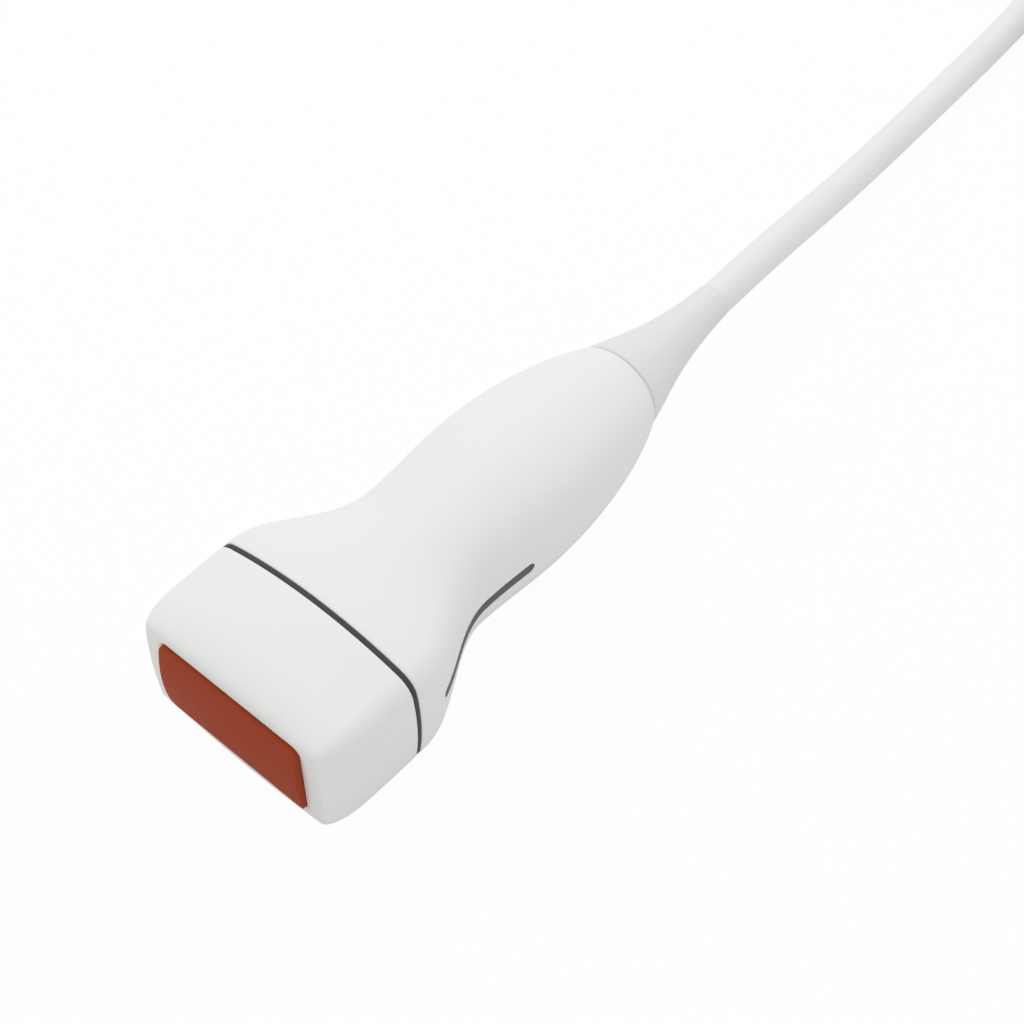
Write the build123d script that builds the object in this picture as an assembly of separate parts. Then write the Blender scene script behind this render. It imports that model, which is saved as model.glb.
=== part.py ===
# Ultrasound transducer probe: a phased-array head on a moulded handle, with its cable and plug.
# The probe lies broad side up. X runs from the lens towards the cable, Z is up. While the pieces
# are made, x = 0 is the front face of the head and y = z = 0 is the probe's long axis. At the end
# they are all moved, so that the origin is under the middle of the probe, on the surface it lies on.
import os
from math import cos, pi, radians, sin, sqrt, tan

from build123d import *

os.makedirs("parts", exist_ok=True)

# Outer form of the head
HEAD_WIDTH = 47.0
HEAD_THICKNESS = 30.0
HEAD_LENGTH = 19.9
HEAD_CROWN_RADIUS = 72.0
HEAD_CHEEK_RADIUS = 60.0
HEAD_CORNER_RADIUS = 4.8
FACE_SIDE_TAPER = 0.9
FACE_TOP_TAPER = 1.3
FACE_ROUNDING = 4.0
FACE_CROWN_RADIUS = 140.0

# Outer form of the handle
SHOULDER_X = 22.0
NECK_WIDTH = 30.2
NECK_WIDTH_X = 46.6
NECK_THICKNESS = 28.4
NECK_THICKNESS_X = 42.0
GRIP_WIDTH = 32.3
GRIP_WIDTH_X = 67.0
GRIP_THICKNESS = 30.0
GRIP_THICKNESS_X = 64.0
TAIL_X = 100.5
TAIL_RADIUS = 9.6
OVAL_CROWN = 1.25
OVAL_CORNER = 0.75
ROUND_CROWN = 1.03
ROUND_CORNER = 0.9
HANDLE_STATIONS = 22
STATION_PACKING = 1.3

# Walls, joints and clearances
WALL = 2.0
FACE_WALL = 3.0
GASKET_WIDTH = 0.8
GASKET_SINK = 0.35
SPIGOT_LENGTH = 3.6
SPIGOT_ROOT = 5.5
SPIGOT_WALL = 1.2
FIT = 0.1
LOOSE_FIT = 0.2
TAIL_WALL = 4.3

# Orientation strip on the -Y side
STRIP_START_X = 27.6
STRIP_END_X = 58.4
STRIP_WIDTH = 2.0
STRIP_DEPTH = 0.7

# Lens
LENS_SIDE_BORDER = 6.4
LENS_TOP_BORDER = 4.8
LENS_CORNER = 2.6
LENS_PROUD = 1.5
LENS_EDGE_PROUD = 0.3
LENS_FLANGE = 0.9
LENS_FLANGE_LENGTH = 1.2

# Acoustic stack behind the lens
STACK_SIDE_INSET = 1.7
STACK_TOP_INSET = 1.9
LAYER_MARGIN = 0.6
OUTER_LAYER_LENGTH = 0.35
INNER_LAYER_LENGTH = 0.45
FOIL_LENGTH = 0.1
PIEZO_LENGTH = 0.6
ELEMENTS = 48
KERF = 0.08
KERF_DEPTH = 0.45
FLEX_THICKNESS = 0.2
FLEX_SIDE_INSET = 1.0
FLEX_TAIL_WIDTH = 17.0
BACKING_LENGTH = 7.0
SPREADER_LENGTH = 3.0
SPREADER_TONGUE_WIDTH = 18.0
SPREADER_TONGUE_THICKNESS = 1.8
FRAME_SIDE_GAP = 1.4
FRAME_TOP_GAP = 2.5
FRAME_CORNER = 2.5

# Chassis, boards and shields
CHASSIS_X = 28.0
CHASSIS_WIDTH = 17.6
CHASSIS_THICKNESS = 2.4
CHASSIS_OVERLAP = 8.0
CHASSIS_SLOT_X = 70.0
CHASSIS_RAIL = 1.2
BOARD_X = 31.0
BOARD_END_X = 83.0
BOARD_LEVEL = 4.6
BOARD_THICKNESS = 1.2
BOARD_WIDTH = 17.6
BOSS_RADIUS = 1.9
BOSS_X = (40.5, 66.0)
BOSS_Y = 6.0
CHIP_X = (46.5, 55.0, 61.5)
CHIP_SIZE = 6.0
CHIP_HEIGHT = 1.0
FLEX_CONNECTOR_LENGTH = 5.0
COAX_CONNECTOR_LENGTH = 6.0
COAX_CONNECTOR_HEIGHT = 1.6
SHIELD_X = 38.0
SHIELD_END_X = 82.0
SHIELD_HEIGHT = 8.2
SHIELD_WALL = 0.4
SHIELD_ROUNDING = 2.5
BULKHEAD_X = 84.0
BULKHEAD_THICKNESS = 3.0

# Small screws
SCREW_RADIUS = 0.8
SCREW_HEAD_RADIUS = 1.6
SCREW_HEAD_HEIGHT = 1.1
SCREW_HOLE_CLEARANCE = 0.1

# Cable end, clamp and boot
CABLE_DIAMETER = 7.2
CABLE_START_X = 88.0
COAX_RADIUS = 2.3
FERRULE_WALL = 0.6
FERRULE_LENGTH = 6.5
CLAMP_LENGTH = 4.6
CLAMP_RADIUS = 5.6
CLAMP_LUG = 8.2
CLAMP_LUG_HEIGHT = 2.6
CLAMP_SCREW_Y = 6.5
BOOT_END_X = 131.5
BOOT_END_RADIUS = 4.0
BOOT_NECK_RADIUS = 7.0
BOOT_FLANGE_RADIUS = 8.5
BOOT_FLANGE_LENGTH = 2.3
BOOT_KNEE_X = 105.0
BOOT_KNEE_RADIUS = 8.35
BOOT_FLARE_X = 113.0
BOOT_FLARE_RADIUS = 6.05
RETAINER_LENGTH = 1.2
RETAINER_BORE = 6.4
SEAL_RADIUS = 0.6

# Put-away cable: turns side by side and on each other, held by two ties
HANK_X = 322.6
HANK_Y = -10.2
HANK_STRAIGHT = 43.2
HANK_BEND = 3.0
HANK_TRACKS = 2
HANK_LAYERS = 4
TIE_THICKNESS = 0.8
TIE_WIDTH = 12.0

# Plug
PLUG_X = 418.0
PLUG_Y = 6.2
PLUG_LENGTH = 40.0
PLUG_WIDTH = 34.0
PLUG_HEIGHT = 18.0
PLUG_CORNER = 4.0
PLUG_WALL = 1.6
PLUG_BOOT_LENGTH = 16.0
PLUG_BOOT_ROOT = 5.6
PLUG_BOOT_LIP = 0.8
PLUG_BOOT_NECK = 4.2
PLUG_BOOT_COLLAR = 1.4
JACKET_SETBACK = 7.0
SHROUD_WIDTH = 26.0
SHROUD_HEIGHT = 8.0
SHROUD_WALL = 0.7
SHROUD_REACH = 7.0
SHROUD_SEAT = 6.0
CONTACTS_PER_ROW = 18
CONTACT_PITCH = 1.25
CONTACT_WIDTH = 0.5
CONTACT_HEIGHT = 0.35
PLUG_SCREW_INSET = 5.0

# Worked out from the sizes above
FACE_WIDTH = HEAD_WIDTH - 2 * FACE_SIDE_TAPER
FACE_THICKNESS = HEAD_THICKNESS - 2 * FACE_TOP_TAPER
LENS_WIDTH = FACE_WIDTH - 2 * LENS_SIDE_BORDER
LENS_HEIGHT = FACE_THICKNESS - 2 * LENS_TOP_BORDER
STACK_WIDTH = LENS_WIDTH - 2 * STACK_SIDE_INSET
STACK_HEIGHT = LENS_HEIGHT - 2 * STACK_TOP_INSET
FLEX_WIDTH = STACK_WIDTH - 2 * FLEX_SIDE_INSET
FRAME_WIDTH = FACE_WIDTH - 2 * (WALL + FRAME_SIDE_GAP)
FRAME_HEIGHT = FACE_THICKNESS - 2 * (WALL + FRAME_TOP_GAP)
AXIS_HEIGHT = max(HEAD_THICKNESS, GRIP_THICKNESS) / 2
CABLE_RADIUS = CABLE_DIAMETER / 2
HANDLE_X = HEAD_LENGTH + GASKET_WIDTH
MIDDLE_X = (BOOT_END_X - LENS_PROUD) / 2
nodes = {}


def smooth(start, end, share):
    """A value that leaves start and reaches end level, along half a cosine."""
    share = min(max(share, 0.0), 1.0)
    return start + (end - start) * (1 - cos(pi * share)) / 2


def tail_off(size, top_x, x):
    """Half of a size that falls from its widest place to the tail's radius, along an ellipse."""
    half = size / 2
    reach = (TAIL_X - top_x) / sqrt(1 - (TAIL_RADIUS / half) ** 2)
    return half * sqrt(1 - ((x - top_x) / reach) ** 2)


def handle_half_width(x):
    if x < NECK_WIDTH_X:
        return smooth(HEAD_WIDTH / 2, NECK_WIDTH / 2, (x - SHOULDER_X) / (NECK_WIDTH_X - SHOULDER_X))
    if x < GRIP_WIDTH_X:
        return smooth(NECK_WIDTH / 2, GRIP_WIDTH / 2, (x - NECK_WIDTH_X) / (GRIP_WIDTH_X - NECK_WIDTH_X))
    return tail_off(GRIP_WIDTH, GRIP_WIDTH_X, x)


def handle_half_thickness(x):
    if x < NECK_THICKNESS_X:
        share = (x - SHOULDER_X) / (NECK_THICKNESS_X - SHOULDER_X)
        return smooth(HEAD_THICKNESS / 2, NECK_THICKNESS / 2, share)
    if x < GRIP_THICKNESS_X:
        share = (x - NECK_THICKNESS_X) / (GRIP_THICKNESS_X - NECK_THICKNESS_X)
        return smooth(NECK_THICKNESS / 2, GRIP_THICKNESS / 2, share)
    return tail_off(GRIP_THICKNESS, GRIP_THICKNESS_X, x)


def mixed_radius(first, second, share):
    """A radius whose curvature lies the given share of the way from the first to the second."""
    return 1 / ((1 - share) / first + share / second)


def across(x):
    """The plane across the probe at x, with its own x along Y and its own y along Z."""
    return Plane(origin=(x, 0, 0), x_dir=(0, 1, 0), z_dir=(1, 0, 0))


def oval(x, half_width, half_height, crown, cheek, corner, inset=0.0):
    """A closed outline across the probe, of eight tangent arcs: crowned top and bottom, bowed
    cheeks, and a corner arc between each two. The inset moves every arc inwards."""
    top = half_height - crown
    side = half_width - cheek
    # The corner's centre lies at known distances from the centres of the crown and the cheek.
    far, near = crown - corner, cheek - corner
    apart = sqrt(top**2 + side**2)
    along = (far**2 - near**2 + apart**2) / (2 * apart)
    away = sqrt(far**2 - along**2)
    to_side = Vector(side, -top) / apart
    outward = Vector(-to_side.Y, to_side.X)
    centre = Vector(0, top) + to_side * along + outward * away
    if centre.X < 0:
        centre = Vector(0, top) + to_side * along - outward * away
    up = (centre - Vector(0, top)).normalized()
    out = (centre - Vector(side, 0)).normalized()
    middle = (up + out).normalized()
    radius = corner - inset
    a = centre + up * radius
    b = centre + middle * radius
    c = centre + out * radius
    wide, high = half_width - inset, half_height - inset

    def at(point, sign_y, sign_z):
        return (x, sign_y * point.X, sign_z * point.Y)

    return Wire(
        [
            Edge.make_three_point_arc(at(a, -1, 1), (x, 0, high), at(a, 1, 1)),
            Edge.make_three_point_arc(at(a, 1, 1), at(b, 1, 1), at(c, 1, 1)),
            Edge.make_three_point_arc(at(c, 1, 1), (x, wide, 0), at(c, 1, -1)),
            Edge.make_three_point_arc(at(c, 1, -1), at(b, 1, -1), at(a, 1, -1)),
            Edge.make_three_point_arc(at(a, 1, -1), (x, 0, -high), at(a, -1, -1)),
            Edge.make_three_point_arc(at(a, -1, -1), at(b, -1, -1), at(c, -1, -1)),
            Edge.make_three_point_arc(at(c, -1, -1), (x, -wide, 0), at(c, -1, 1)),
            Edge.make_three_point_arc(at(c, -1, 1), at(b, -1, 1), at(a, -1, 1)),
        ]
    )


def head_outline(x, inset=0.0):
    """The head's outline: it swells from the front face to the seam and arrives there level."""
    share = 1 - (1 - min(x / HEAD_LENGTH, 1.0)) ** 2
    half_width = (FACE_WIDTH + (HEAD_WIDTH - FACE_WIDTH) * share) / 2
    half_height = (FACE_THICKNESS + (HEAD_THICKNESS - FACE_THICKNESS) * share) / 2
    crown = mixed_radius(FACE_CROWN_RADIUS, HEAD_CROWN_RADIUS, share)
    return oval(x, half_width, half_height, crown, HEAD_CHEEK_RADIUS, HEAD_CORNER_RADIUS, inset)


def handle_outline(x, inset=0.0):
    """The handle's outline: boxy at the head, oval in the grip, round at the tail."""
    half_width = handle_half_width(x)
    half_height = handle_half_thickness(x)
    oval_share = smooth(0, 1, (x - SHOULDER_X) / (NECK_WIDTH_X - SHOULDER_X))
    round_share = smooth(0, 1, (x - GRIP_WIDTH_X) / (TAIL_X - GRIP_WIDTH_X))
    smaller = min(half_width, half_height)
    elongation = max(half_width, half_height) / smaller
    stretch = smooth(OVAL_CROWN, ROUND_CROWN * elongation, round_share)
    crown = mixed_radius(HEAD_CROWN_RADIUS, stretch * half_width, oval_share)
    cheek = mixed_radius(HEAD_CHEEK_RADIUS, stretch * half_height, oval_share)
    grip_corner = smaller * smooth(OVAL_CORNER, ROUND_CORNER, round_share)
    corner = smooth(HEAD_CORNER_RADIUS, grip_corner, oval_share)
    return oval(x, half_width, half_height, crown, cheek, corner, inset)


def spaced(start, end, count):
    return [start + (end - start) * i / (count - 1) for i in range(count)]


def head_body(start, end, inset=0.0):
    return Solid.make_loft([head_outline(x, inset) for x in spaced(start, end, 4)])


def handle_body(start, end, inset=0.0):
    """The handle's form between two places, with its outlines closer together near the head."""
    shares = [(i / (HANDLE_STATIONS - 1)) ** STATION_PACKING for i in range(HANDLE_STATIONS)]
    return Solid.make_loft([handle_outline(start + (end - start) * share, inset) for share in shares])


def block(x, length, width, height, y=0.0, z=0.0, corner=0.0):
    """A block from x onwards, centred on y and z, with its edges along X rounded."""
    outline = RectangleRounded(width, height, corner) if corner else Rectangle(width, height)
    return extrude(across(x) * Pos(y, z) * outline, length)


def rod(x, length, radius, y=0.0, z=0.0):
    return extrude(across(x) * Pos(y, z) * Circle(radius), length)


def screw(x, y, seat, tip, head_up=True, head_radius=SCREW_HEAD_RADIUS):
    """A pan head screw along Z: its head sits on the seat and its shank reaches the tip."""
    way = 1 if head_up else -1
    head = extrude(Plane(origin=(x, y, seat), z_dir=(0, 0, way)) * Circle(head_radius), SCREW_HEAD_HEIGHT)
    shank = extrude(Plane(origin=(x, y, tip), z_dir=(0, 0, way)) * Circle(SCREW_RADIUS), abs(seat - tip))
    head = fillet(head.faces().sort_by(Axis.Z)[-1 if head_up else 0].edges(), SCREW_HEAD_HEIGHT / 3)
    return head + shank


def upright_hole(x, y, low, high, radius=SCREW_RADIUS + SCREW_HOLE_CLEARANCE):
    return extrude(Plane(origin=(x, y, low)) * Circle(radius), high - low)


# Head: a shell with rounded front edges, a lens window, and a spigot that the handle slides over
front = head_body(0, HEAD_LENGTH)
front_edges = front.faces().sort_by(Axis.X)[0].edges()
front = front.fillet(FACE_ROUNDING, front_edges)
spigot_inset = WALL + FIT
bore_inset = spigot_inset + SPIGOT_WALL
root_x = HEAD_LENGTH - SPIGOT_ROOT
spigot_end_x = HEAD_LENGTH + SPIGOT_LENGTH
cavity = head_body(FACE_WALL, root_x, WALL)
spigot = Solid.make_loft(
    [handle_outline(x, spigot_inset) for x in spaced(HEAD_LENGTH, spigot_end_x, 4)]
)
bore = Solid.extrude(Face(head_outline(root_x, bore_inset)), Vector(spigot_end_x - root_x, 0, 0))
window = block(-1, FACE_WALL + 2, LENS_WIDTH + 2 * FIT, LENS_HEIGHT + 2 * FIT, corner=LENS_CORNER + FIT)
nodes["nose_shell"] = front - cavity + spigot - bore - window

# Gasket: a dark ring in the joint, a little below the surface
gasket_blank = Solid.extrude(Face(head_outline(HEAD_LENGTH, GASKET_SINK)), Vector(GASKET_WIDTH, 0, 0))
gasket_bore = Solid.extrude(Face(head_outline(HEAD_LENGTH, spigot_inset)), Vector(GASKET_WIDTH, 0, 0))
nodes["seam_gasket"] = gasket_blank - gasket_bore

# Handle: one hollow moulding, open at the front, with a bored end wall at the tail
cavity_end_x = TAIL_X - TAIL_WALL
handle = handle_body(HANDLE_X, TAIL_X) - handle_body(HANDLE_X, cavity_end_x, WALL)
handle -= rod(cavity_end_x - 1, TAIL_WALL + 2, BOOT_NECK_RADIUS + FIT)
seal_x = TAIL_X - TAIL_WALL / 2
seal_groove = rod(seal_x - SEAL_RADIUS - FIT, 2 * (SEAL_RADIUS + FIT), BOOT_NECK_RADIUS + 2 * SEAL_RADIUS)
handle -= seal_groove

# Orientation strip: a round-ended inlay that follows the narrow side, flush with it
strip_length = STRIP_END_X - STRIP_START_X
strip_plane = Plane(
    origin=((STRIP_START_X + STRIP_END_X) / 2, -HEAD_WIDTH, 0), x_dir=(1, 0, 0), z_dir=(0, 1, 0)
)
strip_prism = extrude(strip_plane * SlotOverall(strip_length, STRIP_WIDTH), HEAD_WIDTH)
strip_bed = handle_body(HANDLE_X, TAIL_X, STRIP_DEPTH)
strip_cut = strip_prism - strip_bed
nodes["orientation_strip"] = handle_body(HANDLE_X, TAIL_X) & strip_cut
nodes["handle_shell"] = handle - strip_cut

# Lens: a domed face in the window and a flange bonded behind the front wall
dome_rise = LENS_PROUD - LENS_EDGE_PROUD
dome_radius = ((LENS_HEIGHT / 2) ** 2 + dome_rise**2) / (2 * dome_rise)
lens_face = block(-LENS_PROUD, LENS_PROUD + FACE_WALL, LENS_WIDTH, LENS_HEIGHT, corner=LENS_CORNER)
dome = extrude(
    Plane(origin=(dome_radius - LENS_PROUD, -LENS_WIDTH, 0), z_dir=(0, 1, 0)) * Circle(dome_radius),
    2 * LENS_WIDTH,
)
lens_flange = block(
    FACE_WALL,
    LENS_FLANGE_LENGTH,
    LENS_WIDTH + 2 * LENS_FLANGE,
    LENS_HEIGHT + 2 * LENS_FLANGE,
    corner=LENS_CORNER + LENS_FLANGE,
)
nodes["acoustic_lens"] = (lens_face & dome) + lens_flange

# Acoustic stack, each layer bonded to the one before it
x = FACE_WALL + LENS_FLANGE_LENGTH
frame_x = x
layer_width = STACK_WIDTH + 2 * LAYER_MARGIN
layer_height = STACK_HEIGHT + 2 * LAYER_MARGIN
nodes["matching_layer_outer"] = block(x, OUTER_LAYER_LENGTH, layer_width, layer_height)
x += OUTER_LAYER_LENGTH
nodes["matching_layer_inner"] = block(x, INNER_LAYER_LENGTH, layer_width, layer_height)
x += INNER_LAYER_LENGTH
nodes["ground_foil"] = block(x, FOIL_LENGTH, layer_width, layer_height)
x += FOIL_LENGTH
pitch = STACK_WIDTH / ELEMENTS
kerfs = [
    block(x + PIEZO_LENGTH - KERF_DEPTH, KERF_DEPTH, KERF, STACK_HEIGHT, y=-STACK_WIDTH / 2 + i * pitch)
    for i in range(1, ELEMENTS)
]
nodes["transducer_array"] = block(x, PIEZO_LENGTH, STACK_WIDTH, STACK_HEIGHT) - kerfs
x += PIEZO_LENGTH
flex_x = x
x += FLEX_THICKNESS
nodes["backing_block"] = block(x, BACKING_LENGTH, STACK_WIDTH, STACK_HEIGHT)
x += BACKING_LENGTH
spreader_x = x
stack_end_x = spreader_x + SPREADER_LENGTH

# Flex circuit: a strip behind the array whose two tails run back to the boards and grow narrower
flex_connector_x = BOARD_X + 0.5
flex_end_x = flex_connector_x + FLEX_CONNECTOR_LENGTH
flex_inner = STACK_HEIGHT / 2 + FIT
flex = block(flex_x, FLEX_THICKNESS, FLEX_WIDTH, 2 * (flex_inner + FLEX_THICKNESS))
tail_points = [
    (flex_x, FLEX_WIDTH / 2),
    (stack_end_x, FLEX_WIDTH / 2),
    (flex_connector_x, FLEX_TAIL_WIDTH / 2),
    (flex_end_x, FLEX_TAIL_WIDTH / 2),
]
tail_outline = make_face(
    Polyline(tail_points + [(px, -py) for px, py in reversed(tail_points)], close=True)
)
for level in (flex_inner, -flex_inner - FLEX_THICKNESS):
    flex += extrude(Plane(origin=(0, 0, level)) * tail_outline, FLEX_THICKNESS)
nodes["flex_circuit"] = flex

# Frame that locates the stack in the head and seats on the lens flange
frame_length = stack_end_x - frame_x
frame_hollow_height = 2 * (flex_inner + FLEX_THICKNESS + LOOSE_FIT)
nodes["array_frame"] = block(
    frame_x, frame_length, FRAME_WIDTH, FRAME_HEIGHT, corner=FRAME_CORNER
) - block(frame_x, frame_length, layer_width + 2 * FIT, max(frame_hollow_height, layer_height + 2 * FIT))

# Heat spreader: a plate on the backing with a tongue that is screwed to the chassis
chassis_top = CHASSIS_THICKNESS / 2
tongue_end_x = CHASSIS_X + CHASSIS_OVERLAP
tongue_top = chassis_top + SPREADER_TONGUE_THICKNESS
spreader = block(spreader_x, SPREADER_LENGTH, STACK_WIDTH, STACK_HEIGHT)
spreader += block(
    stack_end_x,
    tongue_end_x - stack_end_x,
    SPREADER_TONGUE_WIDTH,
    SPREADER_TONGUE_THICKNESS,
    z=(chassis_top + tongue_top) / 2,
)
spreader_screw_x = CHASSIS_X + 2.2
spreader_screws = []
for y in (-BOSS_Y, BOSS_Y):
    spreader -= upright_hole(spreader_screw_x, y, chassis_top, tongue_top)
    spreader_screws.append(screw(spreader_screw_x, y, tongue_top, -chassis_top))
nodes["heat_spreader"] = spreader
nodes["spreader_screws"] = Compound(children=spreader_screws)

# Chassis: a spine between the boards with bosses, two rails round the cable fan, and a bulkhead
chassis = block(CHASSIS_X, CHASSIS_SLOT_X - CHASSIS_X, CHASSIS_WIDTH, CHASSIS_THICKNESS)
rail_y = (CHASSIS_WIDTH - CHASSIS_RAIL) / 2
for y in (-rail_y, rail_y):
    chassis += block(CHASSIS_SLOT_X, BULKHEAD_X - CHASSIS_SLOT_X, CHASSIS_RAIL, CHASSIS_THICKNESS, y=y)
bulkhead_end_x = BULKHEAD_X + BULKHEAD_THICKNESS
bulkhead_outline = Face(handle_outline(bulkhead_end_x, WALL + LOOSE_FIT))
bulkhead = Solid.extrude(bulkhead_outline, Vector(-BULKHEAD_THICKNESS, 0, 0))
ferrule_radius = COAX_RADIUS + FIT + FERRULE_WALL
chassis += bulkhead - rod(BULKHEAD_X - 1, BULKHEAD_THICKNESS + 2, ferrule_radius + FIT)
for bx in BOSS_X:
    for by in (-BOSS_Y, BOSS_Y):
        chassis += extrude(Plane(origin=(bx, by, -BOARD_LEVEL)) * Circle(BOSS_RADIUS), 2 * BOARD_LEVEL)
for bx in BOSS_X:
    for by in (-BOSS_Y, BOSS_Y):
        chassis -= upright_hole(bx, by, -BOARD_LEVEL, BOARD_LEVEL)
for y in (-BOSS_Y, BOSS_Y):
    chassis -= upright_hole(spreader_screw_x, y, -chassis_top, chassis_top)
nodes["chassis"] = chassis

# Two boards, their parts, and the screws that hold them to the bosses
board_length = BOARD_END_X - BOARD_X
board_top = BOARD_LEVEL + BOARD_THICKNESS
flex_seat = flex_inner - board_top
coax_connector_x = CHASSIS_SLOT_X + 2
coax_seat = BOARD_LEVEL - COAX_CONNECTOR_HEIGHT
chips = []
flex_connectors = []
coax_connectors = []
chassis_screws = []
for side, name in ((1, "circuit_board_upper"), (-1, "circuit_board_lower")):
    board = block(BOARD_X, board_length, BOARD_WIDTH, BOARD_THICKNESS, z=side * (BOARD_LEVEL + board_top) / 2)
    for bx in BOSS_X:
        for by in (-BOSS_Y, BOSS_Y):
            board -= upright_hole(bx, by, -board_top, board_top)
            chassis_screws.append(screw(bx, by, side * board_top, side * FIT, side > 0))
    nodes[name] = board
    for chip_x in CHIP_X:
        chips.append(
            block(chip_x, CHIP_SIZE, CHIP_SIZE, CHIP_HEIGHT, z=side * (board_top + CHIP_HEIGHT / 2))
        )
    flex_connectors.append(
        block(
            flex_connector_x,
            FLEX_CONNECTOR_LENGTH,
            FLEX_TAIL_WIDTH,
            flex_seat,
            z=side * (board_top + flex_seat / 2),
        )
    )
    coax_connectors.append(
        block(
            coax_connector_x,
            COAX_CONNECTOR_LENGTH,
            CHASSIS_WIDTH - 2 * CHASSIS_RAIL - 2 * LOOSE_FIT,
            COAX_CONNECTOR_HEIGHT,
            z=side * (coax_seat + COAX_CONNECTOR_HEIGHT / 2),
        )
    )
nodes["board_chips"] = Compound(children=chips)
nodes["flex_connectors"] = Compound(children=flex_connectors)
nodes["coax_connectors"] = Compound(children=coax_connectors)
nodes["chassis_screws"] = Compound(children=chassis_screws)

# Shields: two folded covers over the boards, each open towards the middle
shield_inner = BOARD_WIDTH + 2 * LOOSE_FIT
shield_outer = shield_inner + 2 * SHIELD_WALL
shield_length = SHIELD_END_X - SHIELD_X
shield_tube = block(
    SHIELD_X, shield_length, shield_outer, 2 * SHIELD_HEIGHT, corner=SHIELD_ROUNDING
) - block(
    SHIELD_X,
    shield_length,
    shield_inner,
    2 * (SHIELD_HEIGHT - SHIELD_WALL),
    corner=SHIELD_ROUNDING - SHIELD_WALL,
)
half_space = block(SHIELD_X, shield_length, shield_outer, SHIELD_HEIGHT, z=SHIELD_HEIGHT / 2 + FIT)
nodes["shield_upper"] = shield_tube & half_space
nodes["shield_lower"] = mirror(nodes["shield_upper"], about=Plane.XY)

# Coaxial bundle: round in the ferrule, then a flat fan between the two coax connectors
fan_end_x = coax_connector_x + COAX_CONNECTOR_LENGTH
fan_width = CHASSIS_WIDTH - 2 * CHASSIS_RAIL - 2 * LOOSE_FIT
ferrule_x = CABLE_START_X - FERRULE_LENGTH
fan = block(coax_connector_x, COAX_CONNECTOR_LENGTH, fan_width, 2 * coax_seat)
fan += loft(
    [
        across(fan_end_x) * Rectangle(fan_width, 2 * coax_seat),
        across(ferrule_x) * Rectangle(2 * COAX_RADIUS - 1, 2 * COAX_RADIUS - 1),
    ]
)
nodes["coax_bundle"] = fan + rod(ferrule_x, FERRULE_LENGTH, COAX_RADIUS)
nodes["shield_ferrule"] = rod(ferrule_x, FERRULE_LENGTH, ferrule_radius) - rod(
    ferrule_x, FERRULE_LENGTH, COAX_RADIUS + FIT
)

# Clamp: two saddles on the bulkhead that grip the cable's jacket, drawn together by two screws
clamp_x = CABLE_START_X
clamp_blank = rod(clamp_x, CLAMP_LENGTH, CLAMP_RADIUS) + block(
    clamp_x, CLAMP_LENGTH, 2 * CLAMP_LUG, 2 * CLAMP_LUG_HEIGHT
)
clamp_blank += rod(bulkhead_end_x, clamp_x - bulkhead_end_x, CLAMP_RADIUS)
clamp_blank -= rod(clamp_x, CLAMP_LENGTH, CABLE_RADIUS + FIT / 2)
clamp_blank -= rod(bulkhead_end_x, clamp_x - bulkhead_end_x, ferrule_radius + FIT)
clamp_screw_x = clamp_x + CLAMP_LENGTH / 2
clamp_screws = []
for y in (-CLAMP_SCREW_Y, CLAMP_SCREW_Y):
    clamp_blank -= upright_hole(clamp_screw_x, y, -CLAMP_LUG_HEIGHT, CLAMP_LUG_HEIGHT)
    clamp_screws.append(
        screw(clamp_screw_x, y, CLAMP_LUG_HEIGHT, -CLAMP_LUG_HEIGHT, head_radius=SCREW_HEAD_RADIUS - FIT)
    )
clamp_room = block(bulkhead_end_x, clamp_x + CLAMP_LENGTH - bulkhead_end_x, 3 * CLAMP_LUG, 3 * CLAMP_LUG)
nodes["cable_clamp_upper"] = clamp_blank & clamp_room.moved(Location((0, 0, 1.5 * CLAMP_LUG + FIT)))
nodes["cable_clamp_lower"] = clamp_blank & clamp_room.moved(Location((0, 0, -1.5 * CLAMP_LUG)))
nodes["clamp_screws"] = Compound(children=clamp_screws)

# Boot: a flange and a neck inside the tail, then a flared cone along the cable
flange_x = cavity_end_x - BOOT_FLANGE_LENGTH
boot_profile = make_face(
    [
        Polyline(
            (flange_x, CABLE_RADIUS + FIT / 2),
            (flange_x, BOOT_FLANGE_RADIUS),
            (cavity_end_x, BOOT_FLANGE_RADIUS),
            (cavity_end_x, BOOT_NECK_RADIUS),
            (TAIL_X, BOOT_NECK_RADIUS),
            (TAIL_X, TAIL_RADIUS),
        ),
        Spline(
            (TAIL_X, TAIL_RADIUS),
            (BOOT_KNEE_X, BOOT_KNEE_RADIUS),
            (BOOT_FLARE_X, BOOT_FLARE_RADIUS),
            (BOOT_END_X, BOOT_END_RADIUS),
            tangents=[(1, -0.2), (1, -0.04)],
        ),
        Polyline(
            (BOOT_END_X, BOOT_END_RADIUS),
            (BOOT_END_X, CABLE_RADIUS + FIT / 2),
            (flange_x, CABLE_RADIUS + FIT / 2),
        ),
    ]
)
nodes["strain_relief"] = revolve(Plane.XY * boot_profile, Axis.X)
retainer_x = flange_x - RETAINER_LENGTH
nodes["boot_retainer"] = rod(retainer_x, RETAINER_LENGTH, BOOT_FLANGE_RADIUS) - rod(
    retainer_x, RETAINER_LENGTH, RETAINER_BORE
)
nodes["seal_ring"] = Solid.make_torus(
    BOOT_NECK_RADIUS + SEAL_RADIUS, SEAL_RADIUS - FIT / 2, Plane(origin=(seal_x, 0, 0), z_dir=(1, 0, 0))
)

# From here on the heights are above the surface that the probe lies on.
floor = -AXIS_HEIGHT


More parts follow.
